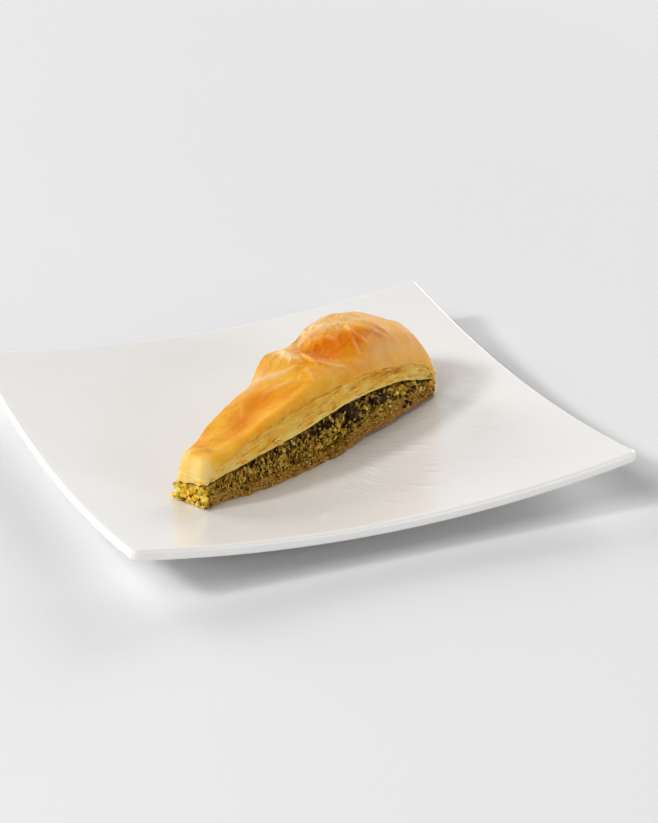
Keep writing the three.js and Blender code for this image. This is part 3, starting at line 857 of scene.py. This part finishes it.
# A crumb of crushed nut: a bevelled block, pulled about, with flat facets.
def crumb_shape(draw):
    bm = bmesh.new()
    bmesh.ops.create_cube(bm, size=1.5)
    bmesh.ops.bevel(bm, geom=bm.edges, affect="EDGES", offset=0.34, segments=1, profile=0.5, material=-1)
    for vert in bm.verts:
        vert.co *= 0.75 + 0.5 * draw.random()
    bmesh.ops.recalc_face_normals(bm, faces=bm.faces)
    return shape_of(bm)


# A flake of broken sheet: thin, curled and torn at its edge.
def flake_shape(draw):
    bm = divided_block(5, 2, 1)
    curl = draw.uniform(-1, 1)
    for vert in bm.verts:
        x, y, z = vert.co
        torn = 0.7 + 0.6 * draw.random()
        narrow = 1 - 0.7 * (2 * x - 1) ** 2
        vert.co = (2 * x - 1, (y - 0.5) * narrow * torn + 0.25 * curl * (2 * x - 1) ** 2,
                   (z - 0.5) + curl * (2 * x - 1) ** 2 + 0.6 * curl * y)
    bmesh.ops.recalc_face_normals(bm, faces=bm.faces)
    return shape_of(bm)


# Places drawn at random over the four cut faces: each gives a distance, a share and whether it lies
# on an end face. The count is for the near side, and the other faces follow from their lengths.
def face_places(draw, count):
    places = [(draw.uniform(0, SLICE_LENGTH), 0.0, False) for _ in range(count)]
    places += [(draw.uniform(0, SLICE_LENGTH), 1.0, False) for _ in range(count)]
    for distance in (0.0, SLICE_LENGTH):
        ends = round(count * width_at(distance) / SLICE_LENGTH)
        places += [(distance, draw.uniform(0, 1), True) for _ in range(ends)]
    return places


# How many bits are tried on the near side: loose flakes, crumbs, upright slivers, and bits spilt over
# the base.
FLAKES = 90
CRUMBS = 1500
SLIVERS = 150
SPILT_BITS = 900


# Thin flakes that stick out between the upper sheets, but not at the tip, under the skin.
def make_flakes(material):
    draw = random.Random(5)
    shapes = [flake_shape(draw) for _ in range(7)]
    copies = []
    for distance, share, on_end in face_places(draw, FLAKES):
        if distance < 2:
            continue
        floor, ceiling = upper_limits(np.float64(distance), np.float64(share))
        level = draw.uniform(0.04, 0.9)
        long = draw.uniform(0.9, 3.2) * (0.6 if distance < 20 else 1)
        size = Matrix.Diagonal((long, draw.uniform(0.9, 2), draw.uniform(0.14, 0.24)))
        slope = height_at(FILLING_TOP, distance + 3) - height_at(FILLING_TOP, distance - 3)
        lean = -0.12 if on_end else -slope / 6
        turn = Euler((draw.gauss(0, 0.3), lean + draw.gauss(0, 0.12), draw.gauss(0, 0.1))).to_matrix()
        place = distance, share, draw.uniform(-0.1, 0.45) - 0.4 * (level > 0.6), mixed(floor, ceiling, level)
        copies.append((draw.choice(shapes), turn @ size, place, on_end, draw.uniform(0.1, 0.45)))
    scatter("loose_flakes", copies, material, "top_layers", "crust")


# The core lies this far in from the cut faces, and its top edge so much further in.
CORE_DIVISIONS = (240, 12, 18)
CORE_INSET = 1.3
CORE_TOP_INSET = 1.2

# How far the nuts spill out at the cut tip, and up to what distance from it they reach the plate.
TIP_SPILL = 1.6
SPILL_LENGTH = 3


# The spill is widest at the tip's far corner and at the foot.
def tip_spill(share, level):
    return TIP_SPILL * (0.4 + 0.6 * share) * (1 - 0.4 * level)


def make_nut_core(material):
    def place(points):
        distance = SLICE_LENGTH * crowded(points[:, 0], 0.3)
        share = crowded(points[:, 1], 0.4)
        across = share * width_at(distance)
        level = points[:, 2]
        bottom = height_at(FILLING_BOTTOM, distance) + LAYER_GAP / 2
        top = height_at(FILLING_TOP, distance) - LAYER_GAP / 2
        bottom = mixed(bottom, LAYER_GAP, 1 - smoothstep(distance, 2.5, 4))
        height = mixed(bottom, top, level)
        lumps = cloud(distance / 1.6, height / 1.6, across / 3) + 0.6 * cloud(distance, height, across)
        beyond = -CORE_INSET + 0.5 * lumps * np.sin(pi * level) ** 0.5
        beyond -= CORE_TOP_INSET * smoothstep(level, 0.8, 0.95) * smoothstep(distance, 0.5, 4)
        beyond += tip_spill(share, level) * (1 - smoothstep(distance, 0, SPILL_LENGTH))
        tone = mixed(0.85, 0.58, smoothstep(distance, 0.5, 7)) + 0.25 * lumps
        tone -= 0.3 * np.minimum(1, patches(distance, height, DARK_PLACES))
        return in_slice(distance, share, beyond, height), {"tone": tone}

    core = mesh_of("nut_core", divided_block(*CORE_DIVISIONS))
    piece("nut_core", core, material, "nut_filling", "pistachio", place)


# Shares of the kinds of nut: in the middle of the slice, at its tip, at the tray's wall, among the bits
# low down or spilt over the base, and among the slivers.
NUT_KINDS = ("green", "olive", "brown", "gold", "dark", "pale")
NUT_SHARES = {"middle": (0.16, 0.36, 0.34, 0.04, 0.07, 0.03), "tip": (0.12, 0.04, 0.04, 0.74, 0, 0.06),
              "tray": (0.06, 0.16, 0.56, 0.12, 0.06, 0.04), "spilt": (0.04, 0.27, 0.64, 0, 0.02, 0.03),
              "sliver": (0.38, 0.32, 0.12, 0.08, 0.04, 0.06)}

# How much more common each kind gets where the nuts drift towards green.
GREENER = (1.3, 0.3, -1, 0.5, -1.5, 0)


# Soft drift of the filling along its faces, from about -1 to 1.
def nut_drift(distance, share, height):
    return 1.5 * noise.noise((distance / 3.4, height / 3.4, 4.5 + 9 * share))


def nut_kind(draw, distance, share, height, spilt):
    if draw.random() < 0.8 * min(1, patches(distance, height, DARK_PLACES)):
        return "dark"
    zone = "spilt" if spilt or height < 4 else "middle"
    if distance < 0.3:
        zone = "tip"
    elif draw.random() < smoothstep(distance, 140, 148):
        zone = "tray"
    drift = nut_drift(distance, share, height)
    weights = [max(0.01, part * (1 + drift * greener)) for part, greener in zip(NUT_SHARES[zone], GREENER)]
    return draw.choices(NUT_KINDS, weights)[0]


# Above this share of the filling's height, the nuts lie back in the shade of the sheets: this share of them
# is left out, and the rest take the dark nuts' colour as painted shade.
SHADED_LEVEL = 0.87
SHADED_SKIPPED = 0.75

# How far the tip's top crumbs sink, under the hem: at the near corner, and how much more at the far one.
TIP_SINK = (0.6, 2)

# Single crumbs that catch the eye: kind, radius, distance, share, how far out, and height.
LONE_CRUMBS = [
    ("green", 1.2, 150.4, 0, 0.5, 11.2), ("green", 0.9, 151, 0.05, 0.8, 9.6), ("dark", 1.3, 130, 0, 0.2, 6.2),
    ("dark", 1.1, 132.4, 0, 0.3, 5.2), ("dark", 0.9, 128.6, 0, 0.3, 4.6), ("olive", 1.1, 0.2, 0, 1.6, 1.2),
    ("dark", 0.7, -0.6, 0, 1.9, 0.9), ("green", 0.9, 0.2, 0, 1.2, 3.4), ("pale", 0.8, 118, 0, 0.1, 9),
]


# The crushed nuts, sorted by kind: crumbs, upright slivers and kernels on the filling's open faces, bits
# spilt over the base, and the single crumbs.
def nut_copies():
    draw = random.Random(20)
    crumbs = [crumb_shape(draw) for _ in range(8)]
    kinds = {kind: [] for kind in NUT_KINDS}

    def add(kind, size, lean, distance, share, beyond, height, on_end):
        turn = Euler(lean).to_matrix() @ Matrix.Diagonal(size)
        tone = 0.5 + 0.5 * noise.noise((distance / 1.7, height / 1.7, 9 * share)) + draw.gauss(0, 0.17)
        kinds[kind].append((draw.choice(crumbs), turn, (distance, share, beyond, height), on_end, tone))

    def any_way():
        return [draw.uniform(0, tau) for _ in range(3)]

    def uneven(radius, spread=0.3):
        return [radius * draw.uniform(1 - spread, 1 + spread) for _ in range(3)]

    def limits(distance):
        floor = height_at(FILLING_BOTTOM, distance) if distance > SPILL_LENGTH else LAYER_GAP
        return floor, height_at(FILLING_TOP, distance)

    for distance, share, on_end in face_places(draw, CRUMBS):
        floor, ceiling = limits(distance)
        level = draw.random()
        shaded = level > SHADED_LEVEL and distance > SPILL_LENGTH
        if shaded and draw.random() < SHADED_SKIPPED:
            continue
        radius = 0.42 + 0.8 * draw.random() ** 1.8
        if distance < 1:
            radius *= draw.uniform(0.6, 1.6)
        height = mixed(floor + 0.8 * radius, ceiling - 0.9 * radius, level)
        if draw.random() < 0.8 * patches(distance, height, DARK_PLACES):
            continue
        size = uneven(radius)
        out = draw.uniform(-0.9, -0.2) + 0.7 * nut_drift(distance, share, height)
        if on_end and distance < 1:
            out = draw.uniform(-0.8, 0) + tip_spill(share, level)
            height -= (TIP_SINK[0] + TIP_SINK[1] * share) * level
        kind = nut_kind(draw, distance, share, height, draw.random() > 4 * level)
        # Shaded nuts are set further back and coloured as dark nuts: painted shade under the sheets.
        if shaded:
            out -= 0.7
            kind = "dark"
        add(kind, size, any_way(), distance, share, out, height, on_end)

    for distance, share, on_end in face_places(draw, SLIVERS):
        floor, ceiling = limits(distance)
        long = draw.uniform(1, 2.2)
        height = mixed(floor + 0.6 * long, ceiling - long, draw.random())
        size = draw.uniform(0.34, 0.6), draw.uniform(0.25, 0.5), long
        lean = draw.gauss(0, 0.3), draw.gauss(0.12, 0.35), draw.uniform(0, tau)
        kind = draw.choices(NUT_KINDS, NUT_SHARES["sliver"])[0]
        add(kind, size, lean, distance, share, draw.uniform(-0.6, 0.1), height, on_end)

    for at, level, spread, level_spread, strength in DARK_PLACES:
        for share in (0.0, 1.0):
            for _ in range(round(3 * strength + spread * level_spread / 4)):
                radius = draw.uniform(1.1, 2.4) * min(1, level_spread / 2.4 + 0.2)
                size = radius, 0.6 * radius, radius * draw.uniform(0.7, 1.1)
                place = at + draw.gauss(0, 0.45) * spread, level + draw.gauss(0, 0.4) * level_spread
                kind = "dark" if draw.random() < 0.85 else "olive"
                floor, ceiling = limits(place[0])
                height = np.clip(place[1], floor + radius, ceiling - 0.8 * radius)
                add(kind, size, any_way(), place[0], share, draw.uniform(-0.9, -0.3), height, False)

    for distance, share, on_end in face_places(draw, SPILT_BITS):
        floor, _ = limits(distance)
        radius = draw.uniform(0.25, 0.65)
        height = floor + 0.8 - 4.6 * draw.random() ** 1.4
        out = base_edge(distance, np.clip(height / floor, 0, 1)) + draw.uniform(-0.35, 0.15)
        if on_end and distance < 1:
            out = draw.uniform(-0.6, 0.2) + tip_spill(share, 0)
        size = uneven(radius)
        add(nut_kind(draw, distance, share, height, True), size, any_way(), distance, share, out,
            max(height, LAYER_GAP + radius), on_end)

    for kind, radius, distance, share, out, height in LONE_CRUMBS:
        add(kind, uneven(radius, 0.2), any_way(), distance, share, out, height, False)
    return kinds


# Colours of the paste between the nuts and of each kind of nut, from its darkest tone to its palest.
PASTE_STOPS = [(0.1, (0.03, 0.015, 0.005)), (0.4, (0.11, 0.06, 0.01)), (0.62, (0.24, 0.14, 0.02)),
               (0.9, (0.70, 0.42, 0.04))]
NUT_STOPS = {
    "green": [(0.1, (0.32, 0.225, 0.015)), (0.5, (0.58, 0.44, 0.04)), (0.9, (0.86, 0.70, 0.13))],
    "olive": [(0.1, (0.16, 0.09, 0.006)), (0.5, (0.40, 0.245, 0.02)), (0.9, (0.64, 0.43, 0.06))],
    "brown": [(0.1, (0.20, 0.08, 0.006)), (0.5, (0.45, 0.22, 0.025)), (0.9, (0.74, 0.44, 0.085))],
    "gold": [(0.1, (0.60, 0.27, 0.008)), (0.5, (0.90, 0.54, 0.035)), (0.9, (0.98, 0.82, 0.16))],
    "dark": [(0.1, (0.014, 0.004, 0.001)), (0.6, (0.036, 0.014, 0.004)), (0.95, (0.09, 0.042, 0.014))],
    "pale": [(0.1, (0.48, 0.34, 0.12)), (0.5, (0.66, 0.48, 0.18)), (0.9, (0.84, 0.66, 0.30))],
}


def make_filling():
    make_nut_core(crumb_finish("nut_paste", PASTE_STOPS, 0.35))
    for kind, copies in nut_copies().items():
        name = "nut_" + kind
        scatter(name, copies, crumb_finish(name, NUT_STOPS[kind], 0.3), "nut_filling", "pistachio")


def add_camera():
    data = bpy.data.cameras.new("photo_view")
    data.sensor_fit = "VERTICAL"
    data.sensor_height = FILM_HEIGHT
    data.lens = CAMERA_LENS
    camera = new_object("photo_view", data)
    camera.matrix_world = (
        Matrix.Translation(CAMERA_PLACE) @ Matrix.Rotation(-CAMERA_HEADING, 4, "Z")
        @ Matrix.Rotation(pi / 2 - CAMERA_PITCH, 4, "X") @ Matrix.Rotation(CAMERA_ROLL, 4, "Z"))
    bpy.context.scene.camera = camera


# All soft boxes are this many metres from the origin and face it, and this is the colour of their light.
BOX_DISTANCE = 3
BOX_COLOUR = (1, 0.99, 0.975)


def add_soft_box(name, heading, climb, width, power):
    data = bpy.data.lights.new(name, "AREA")
    data.shape = "DISK"
    data.size = width
    data.energy = power
    data.color = BOX_COLOUR
    box = new_object(name, data)
    towards = Vector((cos(climb) * cos(heading), cos(climb) * sin(heading), sin(climb)))
    box.location = towards * BOX_DISTANCE
    box.rotation_euler = towards.to_track_quat("Z", "Y").to_euler()


# The room gives a little light from all round, and in the gloss it shows a pale backdrop.
ROOM_LIGHT = 0.04
ROOM_GLINT = 0.06
BACKDROP_GLINT = 0.8
BACKDROP_WAY = (0.386, 0.922, 0)

# Soft boxes round the table: name, heading and climb in degrees, width in metres, and power.
SOFT_BOXES = [
    ("left_lamp", 180, 35, 0.5, 42), ("high_left_box", 205, 44, 1.6, 36), ("back_left_box", 120, 22, 1.6, 39),
    ("back_right_box", 40, 22, 1.6, 35), ("right_box", 0, 22, 1.6, 15), ("front_box", 304, 13, 1.6, 31),
]


def light_the_table():
    world = bpy.data.worlds.new("studio")
    world.use_nodes = True
    tree = world.node_tree
    towards = add_node(tree, "TexCoord").outputs["Generated"]
    back = add_node(tree, "VectorMath", {0: towards, 1: BACKDROP_WAY}, operation="DOT_PRODUCT")
    mirrored = add_node(tree, "MapRange", {"Value": back.outputs["Value"], "From Min": 0.2, "From Max": 0.9,
                                           "To Min": ROOM_GLINT, "To Max": BACKDROP_GLINT})
    is_glossy = add_node(tree, "LightPath").outputs["Is Glossy Ray"]
    strength = add_node(tree, "Mix", {"Factor": is_glossy, "A": ROOM_LIGHT, "B": mirrored.outputs["Result"]})
    background = tree.nodes["Background"]
    background.inputs["Color"].default_value = (0.975, 0.98, 1, 1)
    tree.links.new(strength.outputs["Result"], background.inputs["Strength"])
    bpy.context.scene.world = world
    for name, heading, climb, width, power in SOFT_BOXES:
        add_soft_box(name, radians(heading), radians(climb), width, power)
    bpy.context.scene.view_settings.view_transform = "Standard"


def lay_floor():
    bm = bmesh.new()
    bmesh.ops.create_grid(bm, x_segments=8, y_segments=8, size=6)
    mesh = mesh_of("table", bm)
    material, tree, shader, where = new_material("table_white", Roughness=0.7, Specular_IOR_Level=0.2)
    tone = ramp_node(tree, mottle(tree, where, 900, 0.1),
                     [(0.3, (0.80, 0.80, 0.815)), (0.7, (0.82, 0.82, 0.83))])
    tree.links.new(tone, shader.inputs["Base Color"])
    mesh.materials.append(material)
    floor = new_object("table", mesh)


UPPER_SHEETS = 18
BASE_SHEETS = 5

# Colours of the pale and of the soaked sheets, from the palest to the darkest.
PHYLLO_STOPS = [(0.05, (0.98, 0.74, 0.23)), (0.35, (0.98, 0.60, 0.09)), (0.65, (0.94, 0.43, 0.02)),
                (0.95, (0.70, 0.24, 0.008))]
SOAKED_STOPS = [(0.05, (0.56, 0.30, 0.05)), (0.5, (0.37, 0.17, 0.026)), (0.95, (0.20, 0.08, 0.01))]


def make_slice():
    make_crust()
    phyllo = layers_finish("phyllo_edges", PHYLLO_STOPS, 0.3, 0.6, 0.2)
    make_stack("upper_sheets", UPPER_SHEETS, 0, upper_limits, upper_edge, upper_bake, phyllo,
               "top_layers", "crust")
    make_backing("upper_layers", 0, upper_limits, upper_bake, phyllo, "top_layers", "crust")
    make_flakes(crumb_finish("loose_flakes", PHYLLO_STOPS, 0.35))
    soaked = layers_finish("soaked_edges", SOAKED_STOPS, 0.2, 0.45, 0.15)
    make_stack("base_sheets", BASE_SHEETS, BASE_START, base_limits, base_edge, base_bake, soaked,
               "base_layers", "soaked_pastry")
    make_backing("base_layers_soaked", BASE_START, base_limits, base_bake, soaked, "base_layers",
                 "soaked_pastry")
    make_filling()


add_camera()
light_the_table()
lay_floor()
make_plate()
make_slice()
